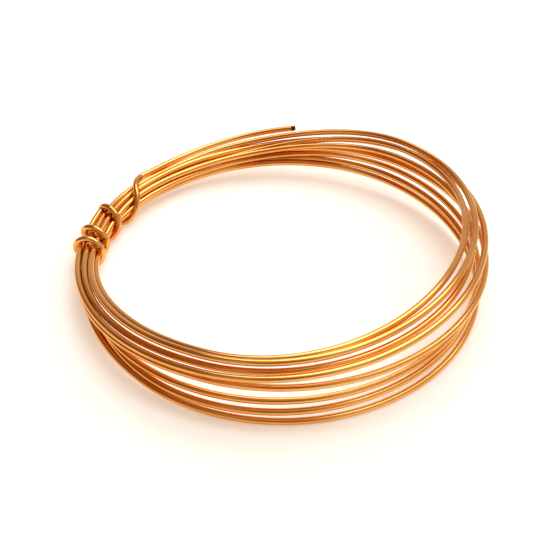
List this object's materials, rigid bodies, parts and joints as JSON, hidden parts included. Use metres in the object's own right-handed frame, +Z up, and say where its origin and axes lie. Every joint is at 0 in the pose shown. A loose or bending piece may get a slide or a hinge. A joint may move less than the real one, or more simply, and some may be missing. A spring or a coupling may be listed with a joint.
{
  "type": "copper wire coil",
  "caption": "Small hank of bare copper wire: eight loose round turns, with one end wrapped round the bundle as a tie and run on along the coil to a square cut.",
  "frame": {"origin": "middle of the bore, on the surface the coil lies on", "axes": "+Z up along the coil's axis; the tie is on the -X side, towards +Y, and the cut end is on the +Y side"},
  "size_m": [0.0805, 0.0815, 0.0135],
  "materials": {
    "bare_copper": "bright drawn"
  },
  "bodies": {
    "root": {"wire_coil": "bare_copper"}
  },
  "joints": []
}
